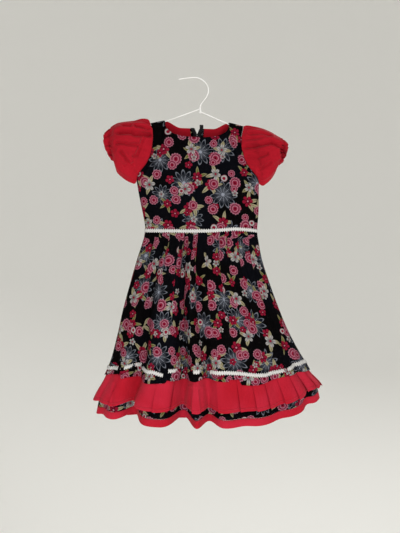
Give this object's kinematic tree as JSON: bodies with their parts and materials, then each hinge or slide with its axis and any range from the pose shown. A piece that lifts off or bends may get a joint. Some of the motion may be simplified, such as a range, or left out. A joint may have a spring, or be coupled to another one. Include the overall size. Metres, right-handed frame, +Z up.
{
  "type": "huasa dress on a wire hanger",
  "caption": "Girl's flowered dress with puffed red sleeves, white braid, pleated red ruffle and back zip, hung on a white wire hanger",
  "frame": {"origin": "inside top of the hanger's hook, where a nail or rod carries it", "axes": "+Z up, the dress's front faces -Y, +X towards the right-hand side as seen from the front"},
  "size_m": [0.5477, 0.1889, 0.8287],
  "materials": {
    "flowered_cotton": "matt printed plain-weave cotton, flowers on black",
    "red_cotton": "matt plain-weave red cotton",
    "white_braid": "matt white cotton braid",
    "zip_tape": "black woven tape",
    "zip_metal": "black enamelled metal, satin",
    "hanger_wire": "white coated wire, satin"
  },
  "bodies": {
    "dress": {"hanger_hook": "hanger_wire", "hanger_arm_left": "hanger_wire", "hanger_arm_right": "hanger_wire", "hanger_bar": "hanger_wire", "bodice_front": "flowered_cotton", "bodice_back_left": "flowered_cotton", "bodice_back_right": "flowered_cotton", "skirt_front": "flowered_cotton", "skirt_back_left": "flowered_cotton", "skirt_back_right": "flowered_cotton", "under_tier_front": "flowered_cotton", "under_tier_back": "flowered_cotton", "neck_facing_left": "red_cotton", "neck_facing_right": "red_cotton", "sleeve_left": "red_cotton", "sleeve_right": "red_cotton", "ruffle_front": "red_cotton", "ruffle_back": "red_cotton", "hem_band_front": "red_cotton", "hem_band_back": "red_cotton", "waist_braid_front": "white_braid", "waist_braid_back_left": "white_braid", "waist_braid_back_right": "white_braid", "skirt_braid_front": "white_braid", "skirt_braid_back": "white_braid", "zip_tape_left": "zip_tape", "zip_tape_right": "zip_tape", "zip_slider": "zip_metal"},
    "pull_tab": {"zip_pull": "zip_metal"}
  },
  "joints": [
    {"name": "pull_tab_hinge", "type": "hinge", "parent": "dress", "child": "pull_tab", "pos_m": [0.00265, 0.01878, -0.1385], "axis": [1, 0, 0], "range_deg": [0, 150]}
  ]
}
